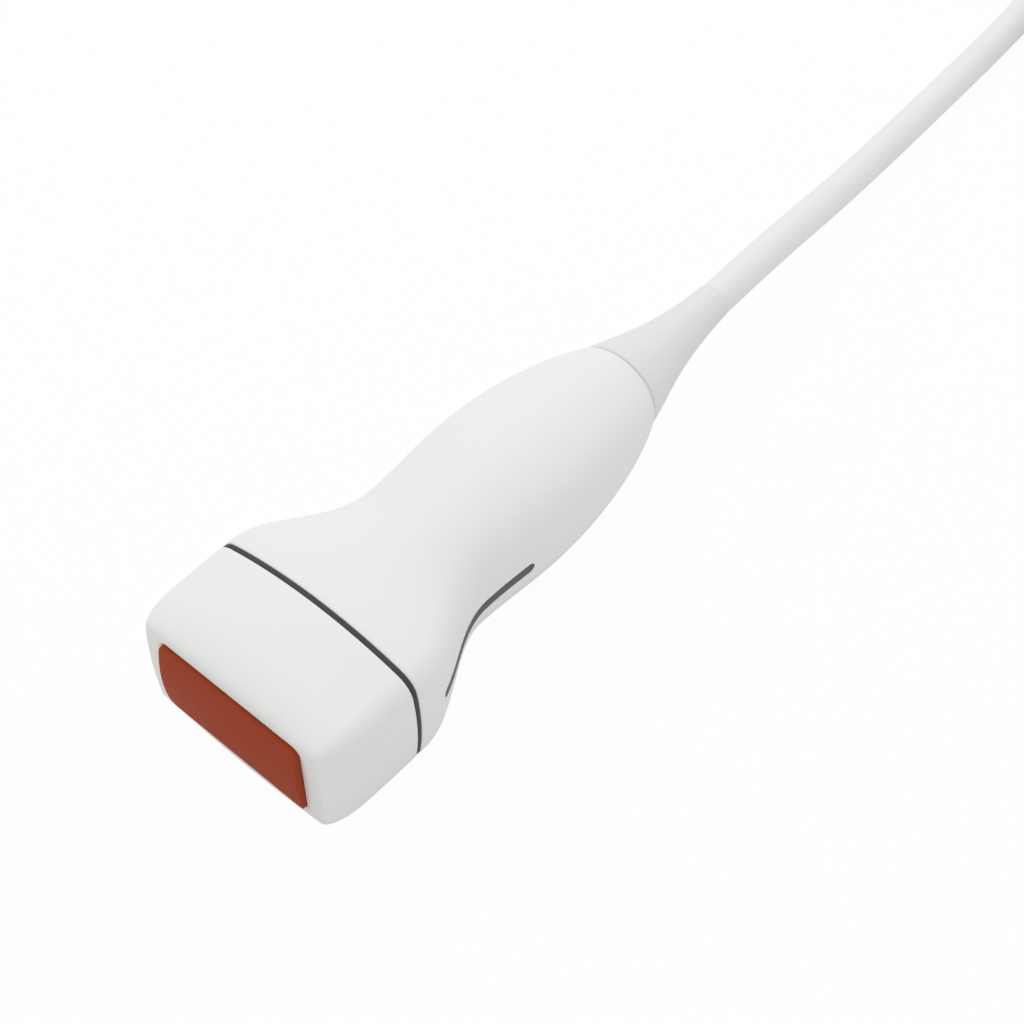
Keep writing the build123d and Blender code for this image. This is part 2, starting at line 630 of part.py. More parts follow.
def tube(route, radius):
    """A round tube along straight runs joined by tangent arcs. Each arc is as large as its two
    runs allow."""
    points = [Vector(*p) for p in route]
    runs = [b - a for a, b in zip(points, points[1:])]
    radii = []
    for before, after in zip(runs, runs[1:]):
        half_turn = radians(before.get_angle(after)) / 2
        radii.append(0.45 * min(before.length, after.length) / tan(half_turn))
    path = FilletPolyline(*points, radius=radii)
    start = Plane(origin=points[0], z_dir=runs[0])
    solid = sweep(start * Circle(radius), path=path)
    share = solid.volume / (pi * radius**2 * path.length)
    print("tube length", round(path.length, 1), "volume share", round(share, 5))
    print("runs", [round(r.length, 1) for r in runs], "radii", [round(r, 1) for r in radii])
    return solid


# Put-away cable: a ring with straight sides, as wide and as high as its turns
inner_bend = HANK_BEND * CABLE_DIAMETER
outer_bend = inner_bend + (HANK_TRACKS - 1) * CABLE_DIAMETER
hank_low = floor + TIE_THICKNESS
hank_high = hank_low + HANK_LAYERS * CABLE_DIAMETER
hank_plane = Plane(origin=(HANK_X, HANK_Y, hank_low))
hank_outline = SlotCenterToCenter(HANK_STRAIGHT, 2 * outer_bend + CABLE_DIAMETER)
hank_opening = SlotCenterToCenter(HANK_STRAIGHT, 2 * inner_bend - CABLE_DIAMETER)
nodes["cable_hank"] = extrude(hank_plane * (hank_outline - hank_opening), hank_high - hank_low)

# Ties: a strap round each side of the hank
bundle_y = (inner_bend + outer_bend) / 2
bundle_width = HANK_TRACKS * CABLE_DIAMETER
for name, way in (("cable_tie_near", -1), ("cable_tie_far", 1)):
    middle = (hank_low + hank_high) / 2
    tie_y = HANK_Y + way * bundle_y
    tie_x = HANK_X - TIE_WIDTH / 2
    tie_high = hank_high - hank_low
    nodes[name] = block(
        tie_x, TIE_WIDTH, bundle_width + 2 * TIE_THICKNESS, tie_high + 2 * TIE_THICKNESS, y=tie_y, z=middle
    ) - block(tie_x, TIE_WIDTH, bundle_width, tie_high, y=tie_y, z=middle)

# Cable from the clamp to the hank, and from the hank to the plug
lying = floor + CABLE_RADIUS
hank_side = HANK_Y + outer_bend
hank_start_x = HANK_X - HANK_STRAIGHT / 2
hank_stop_x = HANK_X + HANK_STRAIGHT / 2
LEAD_ROUTE = [
    (CABLE_START_X, 0, 0),
    (119, 0, 0),
    (150, 0.9, -0.2),
    (188, 6.3, -11.2),
    (226, 7.6, lying),
    (249, 8.5, lying),
    (273, 10.0, lying + 0.1),
    (292.5, hank_side - 0.4, lying + 0.7),
    (311.5, hank_side, hank_low + CABLE_RADIUS),
]
nodes["cable_lead"] = tube(LEAD_ROUTE, CABLE_RADIUS)

plug_axis = floor + PLUG_HEIGHT / 2
top_layer = hank_high - CABLE_RADIUS
plug_boot_x = PLUG_X - PLUG_BOOT_LENGTH
jacket_end_x = PLUG_X - JACKET_SETBACK
TAIL_ROUTE = [
    (hank_stop_x - 9, hank_side, top_layer),
    (hank_stop_x + 7.5, hank_side, top_layer),
    (hank_stop_x + 23.2, hank_side - 3.8, top_layer - 5),
    (plug_boot_x - 22.3, PLUG_Y + 3.9, plug_axis + 4.9),
    (plug_boot_x - 7, PLUG_Y, plug_axis),
    (jacket_end_x, PLUG_Y, plug_axis),
]
nodes["cable_tail"] = tube(TAIL_ROUTE, CABLE_RADIUS)
nodes["cable_hank"] -= tube(LEAD_ROUTE[-4:], CABLE_RADIUS + FIT)
nodes["cable_hank"] -= tube(TAIL_ROUTE[:4], CABLE_RADIUS + FIT)
nodes["strain_relief"] -= nodes["cable_lead"]

# Plug: two shells that meet at the cable's height, open at the front for the shroud
plug_bottom = floor
plug_end_x = PLUG_X + PLUG_LENGTH
shroud_x = plug_end_x - SHROUD_SEAT
shroud_length = SHROUD_SEAT + SHROUD_REACH


def plug_block(x, length, width, height, corner=0.0, z=0.0):
    """A block of the plug, with its upright edges rounded, centred on the plug's own axis."""
    outline = RectangleRounded(length, width, corner) if corner else Rectangle(length, width)
    low = Plane(origin=(x + length / 2, PLUG_Y, plug_axis + z - height / 2))
    return extrude(low * outline, height)


shells = plug_block(PLUG_X, PLUG_LENGTH, PLUG_WIDTH, PLUG_HEIGHT, PLUG_CORNER)
shell_edges = shells.faces().sort_by(Axis.Z)[-1].edges() + shells.faces().sort_by(Axis.Z)[0].edges()
shells = fillet(shell_edges, PLUG_WALL / 2)
shells -= plug_block(
    PLUG_X + PLUG_WALL,
    PLUG_LENGTH - 2 * PLUG_WALL,
    PLUG_WIDTH - 2 * PLUG_WALL,
    PLUG_HEIGHT - 2 * PLUG_WALL,
    PLUG_CORNER - PLUG_WALL,
)
shells -= plug_block(shroud_x, shroud_length, SHROUD_WIDTH + 2 * FIT, SHROUD_HEIGHT + 2 * FIT)
shells -= rod(PLUG_X - 1, PLUG_WALL + 2, PLUG_BOOT_NECK + FIT, y=PLUG_Y, z=plug_axis)
post_radius = SCREW_RADIUS + SCREW_HOLE_CLEARANCE + 1
screw_head_radius = SCREW_HEAD_RADIUS - FIT
plug_screws = []
for sx in (PLUG_X + PLUG_SCREW_INSET, plug_end_x - PLUG_SCREW_INSET - SHROUD_SEAT):
    for sy in (-1, 1):
        y = PLUG_Y + sy * (PLUG_WIDTH / 2 - PLUG_SCREW_INSET)
        post = Plane(origin=(sx, y, plug_bottom + PLUG_WALL))
        shells += extrude(post * Circle(post_radius), PLUG_HEIGHT - 2 * PLUG_WALL)
        seat = plug_bottom + SCREW_HEAD_HEIGHT + PLUG_WALL
        tip = plug_axis + PLUG_HEIGHT / 4
        shells -= upright_hole(sx, y, plug_bottom, seat, screw_head_radius + FIT)
        shells -= upright_hole(sx, y, seat, tip)
        plug_screws.append(screw(sx, y, seat, tip, head_up=False, head_radius=screw_head_radius))
upper_half = plug_block(PLUG_X, PLUG_LENGTH, PLUG_WIDTH, PLUG_HEIGHT / 2, z=PLUG_HEIGHT / 4)
lower_half = plug_block(PLUG_X, PLUG_LENGTH, PLUG_WIDTH, PLUG_HEIGHT / 2, z=-PLUG_HEIGHT / 4)
nodes["connector_upper_shell"] = shells & upper_half
nodes["connector_lower_shell"] = shells & lower_half
nodes["connector_screws"] = Compound(children=plug_screws)

# Shroud, contact block and contacts: the part of the plug that enters the console
nodes["connector_shroud"] = plug_block(shroud_x, shroud_length, SHROUD_WIDTH, SHROUD_HEIGHT) - plug_block(
    shroud_x, shroud_length, SHROUD_WIDTH - 2 * SHROUD_WALL, SHROUD_HEIGHT - 2 * SHROUD_WALL
)
block_width = SHROUD_WIDTH - 2 * SHROUD_WALL
block_height = SHROUD_HEIGHT - 2 * SHROUD_WALL
contact_block = plug_block(shroud_x, shroud_length, block_width, block_height)
contacts = []
contact_level = block_height / 4
for i in range(CONTACTS_PER_ROW):
    y = (i - (CONTACTS_PER_ROW - 1) / 2) * CONTACT_PITCH
    for way in (-1, 1):
        pin = block(
            shroud_x,
            shroud_length,
            CONTACT_WIDTH,
            CONTACT_HEIGHT,
            y=PLUG_Y + y,
            z=plug_axis + way * contact_level,
        )
        contact_block -= pin
        contacts.append(pin)
nodes["contact_block"] = contact_block
nodes["connector_contacts"] = Compound(children=contacts)

# Board in the plug, between the posts, against the back of the contact block
plug_board_x = PLUG_X + 2 * PLUG_SCREW_INSET
plug_board_width = PLUG_WIDTH - 2 * (PLUG_SCREW_INSET + post_radius + LOOSE_FIT)
nodes["connector_board"] = plug_block(
    plug_board_x, shroud_x - plug_board_x, plug_board_width, BOARD_THICKNESS
)

# Plug's strain relief: a tapered sleeve whose neck passes the shells' rear wall, with a collar
# behind it. The cable's jacket ends in the sleeve, and only its wires go on.
collar_x = PLUG_X + PLUG_WALL
sleeve_bore = CABLE_RADIUS + FIT / 2
sleeve_profile = make_face(
    Polyline(
        (plug_boot_x, sleeve_bore),
        (plug_boot_x, CABLE_RADIUS + PLUG_BOOT_LIP),
        (PLUG_X, PLUG_BOOT_ROOT),
        (PLUG_X, PLUG_BOOT_NECK),
        (collar_x, PLUG_BOOT_NECK),
        (collar_x, PLUG_BOOT_ROOT),
        (collar_x + PLUG_BOOT_COLLAR, PLUG_BOOT_ROOT),
        (collar_x + PLUG_BOOT_COLLAR, COAX_RADIUS),
        (jacket_end_x, COAX_RADIUS),
        (jacket_end_x, sleeve_bore),
        close=True,
    )
)
sleeve = revolve(Plane.XY * sleeve_profile, Axis.X)
nodes["connector_boot"] = sleeve.moved(Location((0, PLUG_Y, plug_axis)))

home = Location((-MIDDLE_X, 0, AXIS_HEIGHT))
for name, shape in nodes.items():
    export_step(shape.moved(home), f"parts/{name}.step")
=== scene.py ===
from math import cos, pi, radians, sin, sqrt

import bpy
import numpy as np
from mathutils import Matrix


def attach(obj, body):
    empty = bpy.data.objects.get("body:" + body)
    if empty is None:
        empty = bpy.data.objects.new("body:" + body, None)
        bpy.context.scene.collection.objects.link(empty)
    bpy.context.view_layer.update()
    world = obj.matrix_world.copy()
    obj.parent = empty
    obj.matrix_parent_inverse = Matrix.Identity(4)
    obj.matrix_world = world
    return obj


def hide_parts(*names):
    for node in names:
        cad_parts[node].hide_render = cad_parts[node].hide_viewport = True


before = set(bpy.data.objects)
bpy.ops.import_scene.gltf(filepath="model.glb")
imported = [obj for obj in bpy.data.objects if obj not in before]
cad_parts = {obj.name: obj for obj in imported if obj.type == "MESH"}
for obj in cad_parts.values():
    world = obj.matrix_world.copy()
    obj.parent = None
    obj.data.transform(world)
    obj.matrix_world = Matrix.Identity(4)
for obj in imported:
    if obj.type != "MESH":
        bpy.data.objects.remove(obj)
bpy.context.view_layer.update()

# Camera: it stands above the lens end of the probe, turned towards the side with the strip, so
# that the front face's centre falls left of and below the middle of the picture.
VIEW_AZIMUTH = radians(220.88)
VIEW_ELEVATION = radians(51.66)
VIEW_ROLL = radians(0.41)
VIEW_DISTANCE = 0.3223
VIEW_LENS_MM = 67.98
FACE_RIGHT = -0.04633
FACE_UP = -0.03563
FACE_X = -0.065
AXIS_Z = 0.015
SENSOR_MM = 36.0
NEAREST_SEEN = 0.01

level_out = cos(VIEW_ELEVATION)
forward = -np.array(
    [level_out * cos(VIEW_AZIMUTH), level_out * sin(VIEW_AZIMUTH), sin(VIEW_ELEVATION)]
)
level_right = np.cross(forward, (0.0, 0.0, 1.0))
level_right /= np.linalg.norm(level_right)
level_up = np.cross(level_right, forward)
right = cos(VIEW_ROLL) * level_right + sin(VIEW_ROLL) * level_up
up = cos(VIEW_ROLL) * level_up - sin(VIEW_ROLL) * level_right
eye = np.array([FACE_X, 0.0, AXIS_Z]) - VIEW_DISTANCE * forward - FACE_RIGHT * right - FACE_UP * up
camera_data = bpy.data.cameras.new("camera")
camera_data.lens = VIEW_LENS_MM
camera_data.sensor_width = SENSOR_MM
camera_data.clip_start = NEAREST_SEEN
camera = bpy.data.objects.new("camera", camera_data)
bpy.context.collection.objects.link(camera)
turned = np.eye(4)
turned[:3, 0], turned[:3, 1], turned[:3, 2], turned[:3, 3] = right, up, -forward, eye
camera.matrix_world = Matrix(turned.tolist())
bpy.context.scene.camera = camera
bpy.context.scene.view_settings.view_transform = "Standard"


# Cable: a round bundle of fine coaxial wires in a soft light grey jacket. It leaves the strain
# relief straight, sinks to the table, and is put away beyond the picture as a hank of turns two
# abreast and four high. From there it runs down to the plug.
CABLE_RADIUS = 0.0036
HANK_X = 0.2576
HANK_Y = -0.0102
HANK_STRAIGHT = 0.0432
INNER_BEND = 6 * CABLE_RADIUS
OUTER_BEND = 8 * CABLE_RADIUS
TIE_THICKNESS = 0.0008
BEND_POINTS = 6
lying = CABLE_RADIUS
hank_side = HANK_Y + OUTER_BEND
hank_start_x = HANK_X - HANK_STRAIGHT / 2
hank_stop_x = HANK_X + HANK_STRAIGHT / 2
first_layer = TIE_THICKNESS + CABLE_RADIUS
top_layer = first_layer + 6 * CABLE_RADIUS
lead_points = [
    (0.0230, 0.0, AXIS_Z),
    (0.0540, 0.0, AXIS_Z),
    (0.0850, 0.0009, 0.0148),
    (0.1230, 0.0063, 0.0038),
    (0.1610, 0.0076, lying),
    (0.1840, 0.0085, lying),
    (0.2080, 0.0100, 0.0037),
    (0.2275, 0.0182, 0.0043),
    (0.2465, hank_side, first_layer),
]
tail_points = [
    (0.2702, hank_side, top_layer),
    (0.2867, hank_side, top_layer),
    (0.3024, 0.0148, 0.0210),
    (0.3147, 0.0101, 0.0139),
    (0.3300, 0.0062, 0.0090),
    (0.3460, 0.0062, 0.0090),
]
# The slots that the turns fill, in order: bend and layer. A turn goes over to the next slot while
# it rounds the end of the hank that is nearer to the probe.
slots = [
    (OUTER_BEND, 0),
    (INNER_BEND, 0),
    (INNER_BEND, 1),
    (OUTER_BEND, 1),
    (OUTER_BEND, 2),
    (INNER_BEND, 2),
    (INNER_BEND, 3),
    (OUTER_BEND, 3),
]
TURNS = len(slots) - 1
STAGGER = 0.6


def hank_points():
    """The control points of the turns. Each lies outside its bend by the cosine of half the step
    between two points, because the line passes through the middles between them."""
    step = pi / BEND_POINTS
    angles = pi / 2 - step * (np.arange(BEND_POINTS) + 0.5)
    share = (np.arange(BEND_POINTS) + 0.5) / BEND_POINTS
    line = []
    for turn in range(TURNS):
        (bend, layer), (next_bend, next_layer) = slots[turn], slots[turn + 1]
        wide = bend / cos(step / 2)
        level = first_layer + 2 * CABLE_RADIUS * layer
        line += [(hank_stop_x + wide * cos(a), HANK_Y + wide * sin(a), level) for a in angles]
        late = STAGGER * (TURNS - 1 - turn) / (TURNS - 1)
        over = np.clip((1 + STAGGER) * share - late, 0, 1)
        over = (1 - np.cos(pi * over)) / 2
        wide = (bend + (next_bend - bend) * over) / cos(step / 2)
        level = first_layer + 2 * CABLE_RADIUS * (layer + (next_layer - layer) * over)
        line += zip(
            hank_start_x - wide * np.cos(angles),
            HANK_Y - wide * np.sin(angles),
            level,
        )
    return line


cable_line = np.array(lead_points + hank_points() + tail_points)
cable_curve = bpy.data.curves.new("cable", "CURVE")
cable_curve.dimensions = "3D"
cable_curve.bevel_depth = CABLE_RADIUS
cable_curve.bevel_resolution = 8
cable_curve.resolution_u = 10
cable_curve.use_fill_caps = True
spline = cable_curve.splines.new("NURBS")
spline.points.add(len(cable_line) - 1)
spline.points.foreach_set("co", np.c_[cable_line, np.ones(len(cable_line))].ravel())
spline.order_u = 3
spline.use_endpoint_u = True
cable = bpy.data.objects.new("cable", cable_curve)
bpy.context.collection.objects.link(cable)


class Look:
    """One value in a material, which is an output socket of a node. Python's operators on looks
    and numbers add Math nodes."""

    def __init__(self, tree, socket=None):
        self.tree = tree
        self.socket = socket

    def node(self, kind, settings=None, sockets=None, output=0):
        """Adds a node of this kind, sets it up, and fills its sockets with values or looks."""
        made = self.tree.nodes.new(kind)
        for name, value in (settings or {}).items():
            setattr(made, name, value)
        for name, value in (sockets or {}).items():
            if isinstance(value, Look):
                self.tree.links.new(value.socket, made.inputs[name])
            else:
                made.inputs[name].default_value = value
        return Look(self.tree, made.outputs[output] if len(made.outputs) else None)

    def math(self, operation, first, second):
        return self.node("ShaderNodeMath", {"operation": operation}, {0: first, 1: second})

    def __add__(self, other):
        return self.math("ADD", self, other)

    def __mul__(self, other):
        return self.math("MULTIPLY", self, other)

    def __rsub__(self, other):
        return self.math("SUBTRACT", other, self)


def linear(red, green, blue):
    """A colour of the picture, from 0 to 255, as the light that it stands for."""
    shown = np.array([red, green, blue]) / 255
    light = np.where(shown <= 0.04045, shown / 12.92, ((shown + 0.055) / 1.055) ** 2.4)
    return (*light.tolist(), 1.0)


BROAD_SCALE = 55.0
BROAD_SHARE = 0.7
GLOSS_CHANGE = 0.08


def moulded(name, colour, roughness, grain, depth, mottle=0.02, stretch=(1, 1, 1), **shader):
    """A moulded, cast or drawn finish: a fine grain of that size and depth in metres, along with
    broad, faint changes of colour and gloss. The stretch makes the grain finer along an axis."""
    material = bpy.data.materials.new(name)
    material.use_nodes = True
    material.node_tree.nodes.clear()
    look = Look(material.node_tree)
    place = look.node("ShaderNodeTexCoord", output="Object")
    fine_place = look.node(
        "ShaderNodeVectorMath", {"operation": "MULTIPLY"}, {0: place, 1: stretch}
    )
    fine = look.node("ShaderNodeTexNoise", None, {"Vector": fine_place, "Scale": 1 / grain})
    broad = look.node(
        "ShaderNodeTexNoise", None, {"Vector": place, "Scale": BROAD_SCALE, "Detail": 3.0}
    )
    darker = tuple(c * (1 - mottle) for c in colour[:3]) + (1.0,)
    tone = look.node(
        "ShaderNodeMix",
        {"data_type": "RGBA"},
        {0: broad * BROAD_SHARE + fine * (1 - BROAD_SHARE), 6: darker, 7: colour},
        output=2,
    )
    bump = look.node(
        "ShaderNodeBump", None, {"Height": fine, "Distance": depth, "Strength": 1.0}
    )
    surface = look.node(
        "ShaderNodeBsdfPrincipled",
        None,
        {
            "Base Color": tone,
            "Roughness": broad * GLOSS_CHANGE + (roughness - GLOSS_CHANGE / 2),
            "Normal": bump,
            **shader,
        },
    )
    look.node("ShaderNodeOutputMaterial", None, {"Surface": surface})
    return material


JACKET = linear(238, 238, 238)
jacket = moulded("cable_jacket", JACKET, 0.50, 0.0009, 0.000008, IOR=1.45)
cable_curve.materials.append(jacket)
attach(cable, "root")
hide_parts("cable_lead", "cable_hank", "cable_tail")


# Ties: two straps of woven hook-and-loop tape. Each wraps the turns of one side of the hank, and
# its free end is pressed down over its start on top.
TIE_WIDTH = 0.012
TOP_POINTS = slice(22, 27)
ARC_POINTS = 8
LAP_SHARE = 0.92
EDGE_ACROSS = (-1, -0.98, -0.9, 0.9, 0.98, 1, 0.98, 0.9, -0.9, -0.98)
EDGE_DEPTH = (0.5, 0.85, 1, 1, 0.85, 0.5, 0.15, 0, 0, 0.15)
WEAVE_PITCH = 0.0011
WAVES_PER_PITCH = 0.3
FUZZ_PER_PITCH = 2.5
WAVE_SHARE = 0.4
FUZZ_SHARE = 0.5
# How dark the painted shade in the weave's hollows is, as a share of the tape's colour.
HOLLOW_SHADE = 0.55
TIE_COLOUR = linear(78, 80, 84)


def skin(name, rings, ends="joined"):
    """A closed mesh on rings of points, given as rings by points by three. The last ring joins
    the first, or each end is closed by a fan about its middle."""
    count, around = rings.shape[:2]
    points = rings.reshape(-1, 3)
    rows = np.arange(count if ends == "joined" else count - 1)[:, None]
    columns = np.arange(around)[None, :]
    after, beside = (rows + 1) % count, (columns + 1) % around
    quads = np.stack(
        [
            rows * around + columns,
            rows * around + beside,
            after * around + beside,
            after * around + columns,
        ],
        axis=-1,
    ).reshape(-1, 4)
    faces = quads.tolist()
    if ends == "capped":
        points = np.concatenate([points, rings[0].mean(0)[None], rings[-1].mean(0)[None]])
        ring = np.arange(around)
        first_pole = np.full(around, count * around)
        last = (count - 1) * around
        faces += np.stack([first_pole, np.roll(ring, -1), ring], axis=-1).tolist()
        faces += np.stack([first_pole + 1, last + ring, last + np.roll(ring, -1)], -1).tolist()
    a, b, c = (points[quads[:, k]] for k in (0, 1, 2))
    d = points[quads[:, 3]]
    swept = np.einsum("ij,ij->", a, np.cross(b, c)) + np.einsum("ij,ij->", a, np.cross(c, d))
    if swept < 0:
        faces = [face[::-1] for face in faces]
    mesh = bpy.data.meshes.new(name)
    mesh.from_pydata(points, [], faces)
    mesh.validate()
    mesh.shade_smooth()
    mesh.set_sharp_from_angle(angle=radians(40))
    made = bpy.data.objects.new(name, mesh)
    bpy.context.collection.objects.link(made)
    return made


def dress(piece, material, slot, *nodes):
    """The piece gets its material, rides on the probe, and stands for these solids."""
    piece.data.materials.append(material)
    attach(piece, "root")
    if nodes:
        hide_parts(*nodes)


def wrap_outline(centres, radius):
    """A taut loop round cables: an arc about each outer one, and straight between them. The
    centres go anticlockwise round the bundle, in Y and Z."""
    centres = np.array(centres)
    way = np.roll(centres, -1, axis=0) - centres
    leave = np.arctan2(way[:, 1], way[:, 0]) - pi / 2
    arrive = np.roll(leave, 1)
    turn = (leave - arrive) % (2 * pi)
    angle = arrive[:, None] + turn[:, None] * np.linspace(0, 1, ARC_POINTS)
    spot = centres[:, None] + radius * np.stack([np.cos(angle), np.sin(angle)], -1)
    return spot.reshape(-1, 2)


def strap(loop_inner, loop_outer, width):
    """Rings along a strap. A ring's points lie between the strap's inner and outer line by the
    shares in EDGE_DEPTH, and across its width by those in EDGE_ACROSS, which round its edges."""
    depth = np.array(EDGE_DEPTH)
    line = loop_inner[:, None] + (loop_outer - loop_inner)[:, None] * depth[None, :, None]
    x = np.broadcast_to(HANK_X + np.array(EDGE_ACROSS) * width / 2, line.shape[:2])
    return np.concatenate([x[..., None], line], axis=-1)


def woven(name, colour, pitch):
    """A woven tape: two sets of fine waves at right angles, with a fuzz of loops over them. Its
    colour darkens where they are low, as painted shade in the weave's hollows.
    """
    material = bpy.data.materials.new(name)
    material.use_nodes = True
    material.node_tree.nodes.clear()
    look = Look(material.node_tree)
    place = look.node("ShaderNodeTexCoord", output="Object")
    waves = {"Vector": place, "Scale": WAVES_PER_PITCH / pitch}
    along, over = (
        look.node("ShaderNodeTexWave", {"bands_direction": way}, waves) for way in "XZ"
    )
    fuzz = look.node(
        "ShaderNodeTexNoise", None, {"Vector": place, "Scale": FUZZ_PER_PITCH / pitch}
    )
    thread = along * WAVE_SHARE + over * WAVE_SHARE + fuzz * FUZZ_SHARE
    # Painted shade: the tape's colour darkens towards the weave's hollows, where the thread height
    # is low.
    darker = tuple(c * HOLLOW_SHADE for c in colour[:3]) + (1.0,)
    tone = look.node(
        "ShaderNodeMix", {"data_type": "RGBA"}, {0: thread, 6: darker, 7: colour}, output=2
    )
    bump = look.node("ShaderNodeBump", None, {"Height": thread, "Distance": pitch / 8})
    surface = look.node(
        "ShaderNodeBsdfPrincipled",
        None,
        {"Base Color": tone, "Roughness": 0.9, "Normal": bump, "Sheen Weight": 0.3},
    )
    look.node("ShaderNodeOutputMaterial", None, {"Surface": surface})
    return material


tape = woven("tie_tape", TIE_COLOUR, WEAVE_PITCH)
for tie_name, way in (("cable_tie_near", -1), ("cable_tie_far", 1)):
    inner_y, outer_y = HANK_Y + way * INNER_BEND, HANK_Y + way * OUTER_BEND
    low, high, lower = first_layer, top_layer, top_layer - 2 * CABLE_RADIUS
    if way > 0:
        centres = [(inner_y, low), (outer_y, low), (outer_y, high), (inner_y, high)]
    else:
        centres = [(outer_y, low), (inner_y, low), (inner_y, high), (outer_y, lower)]
    inside = wrap_outline(centres, CABLE_RADIUS)
    outside = wrap_outline(centres, CABLE_RADIUS + TIE_THICKNESS)
    tie = skin(tie_name + "_strap", strap(inside, outside, TIE_WIDTH))
    dress(tie, tape, "tie", tie_name)
    lap_inside = outside[TOP_POINTS]
    lap_outside = wrap_outline(centres, CABLE_RADIUS + 2 * TIE_THICKNESS)[TOP_POINTS]
    lap_width = LAP_SHARE * TIE_WIDTH
    lap = skin(tie_name + "_lap", strap(lap_inside, lap_outside, lap_width), ends="capped")
    dress(lap, tape, "tie")


# Plug: a flat two-part shell of light grey plastic on the cable's end, with a rubber sleeve behind
# and a plated metal shroud in front, round a black block with two rows of gilt contacts.
PLUG_GREY = linear(206, 208, 210)
SLEEVE_GREY = linear(186, 188, 190)
NICKEL = linear(196, 192, 184)
BLOCK_BLACK = linear(38, 38, 40)
GILT = linear(236, 196, 110)
BOARD_GREEN = linear(24, 96, 62)
STEEL = linear(170, 170, 172)
METAL_MOTTLE = 0.06
BOARD_CELLS = 650.0
TRACKS_PER_CELL = 4.0
TRACK_SHARE = 0.28
TRACK_HEIGHT = 0.00004
TRACK_TONE = 1.6
TRACK_PALER = 0.03
LACQUER_ROUGH = 0.35
TRACK_SMOOTHER = 0.08


def coat(material, *names):
    """These solids show this material."""
    for name in names:
        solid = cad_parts[name]
        solid.data.materials.clear()
        solid.data.materials.append(material)


def metal(name, colour, roughness, grain, depth, stretch=(1, 1, 1)):
    return moulded(name, colour, roughness, grain, depth, METAL_MOTTLE, stretch, Metallic=1.0)


def printed_board(name, colour):
    """A printed board: pale tracks in a grid of small cells under a green lacquer."""
    material = bpy.data.materials.new(name)
    material.use_nodes = True
    material.node_tree.nodes.clear()
    look = Look(material.node_tree)
    place = look.node("ShaderNodeTexCoord", output="Object")
    cells = look.node(
        "ShaderNodeTexVoronoi",
        {"distance": "CHEBYCHEV", "feature": "F1"},
        {"Vector": place, "Scale": BOARD_CELLS},
    )
    ripple = look.math("FRACT", cells * TRACKS_PER_CELL, 0.0)
    tracks = look.math("LESS_THAN", ripple, TRACK_SHARE)
    lighter = tuple(min(c * TRACK_TONE + TRACK_PALER, 1.0) for c in colour[:3]) + (1.0,)
    tone = look.node(
        "ShaderNodeMix", {"data_type": "RGBA"}, {0: tracks, 6: colour, 7: lighter}, output=2
    )
    bump = look.node("ShaderNodeBump", None, {"Height": tracks, "Distance": TRACK_HEIGHT})
    roughness = LACQUER_ROUGH - tracks * TRACK_SMOOTHER
    surface = look.node(
        "ShaderNodeBsdfPrincipled",
        None,
        {"Base Color": tone, "Roughness": roughness, "Normal": bump},
    )
    look.node("ShaderNodeOutputMaterial", None, {"Surface": surface})
    return material


plug_plastic = moulded("plug_plastic", PLUG_GREY, 0.5, 0.0007, 0.00001)
sleeve_rubber = moulded("sleeve_rubber", SLEEVE_GREY, 0.62, 0.0009, 0.000012)
nickel = metal("nickel_plate", NICKEL, 0.28, 0.0008, 0.000004, stretch=(0.1, 1, 1))
block_plastic = moulded("block_plastic", BLOCK_BLACK, 0.45, 0.0004, 0.000008, mottle=0.1)
gilt = metal("gilt", GILT, 0.22, 0.0003, 0.000002)
lacquer = printed_board("board_lacquer", BOARD_GREEN)
screw_steel = metal("screw_steel", STEEL, 0.32, 0.0003, 0.000004)
coat(plug_plastic, "connector_lower_shell", "connector_upper_shell")
coat(sleeve_rubber, "connector_boot")
coat(nickel, "connector_shroud")
coat(block_plastic, "contact_block")
coat(gilt, "connector_contacts")
coat(lacquer, "connector_board")
coat(screw_steel, "connector_screws")
plug_names = ["connector_boot", "connector_lower_shell", "connector_upper_shell"]
plug_names += ["connector_screws", "connector_shroud", "contact_block"]
plug_names += ["connector_contacts", "connector_board"]


# Head: a white moulded shell that swells a little from its flat front to the seam. The front
# edges are well rounded, and the lens sits in a window with a slightly broken edge.
HEAD_WIDTH = 0.0470
HEAD_THICKNESS = 0.0300
HEAD_LENGTH = 0.0199
HEAD_CROWN_RADIUS = 0.072
HEAD_CHEEK_RADIUS = 0.060
HEAD_CORNER_RADIUS = 0.0048
FACE_WIDTH = 0.0452
FACE_THICKNESS = 0.0274
FACE_CROWN_RADIUS = 0.140
FACE_CORNER_RADIUS = 0.0026
FACE_ROUNDING_IN = 0.0024
FACE_ROUNDING_BACK = 0.0080
FACE_WALL = 0.003
LENS_WIDTH = 0.0324
LENS_HEIGHT = 0.0182
LENS_CORNER = 0.0016
FIT = 0.00004
WALL = 0.002
SEAM_EDGE = 0.00025
HEAD_END = HEAD_LENGTH - 0.0001
ARC_STEPS = 12
FRONT_SHARES = (0.3, 0.6, 0.85)
SHELL_WHITE = linear(241, 241, 239)


def quarter_to_ring(quarter_y, quarter_z):
    """A whole ring from its quarter with positive Y and Z, which starts on the Y axis. The last
    point of the quarter lies on the Z axis."""
    y, z = quarter_y, quarter_z
    ring_y = np.concatenate([y[:, :-1], -y[:, :0:-1], -y[:, :-1], y[:, :0:-1]], axis=1)
    ring_z = np.concatenate([z[:, :-1], z[:, :0:-1], -z[:, :-1], -z[:, :0:-1]], axis=1)
    return ring_y, ring_z


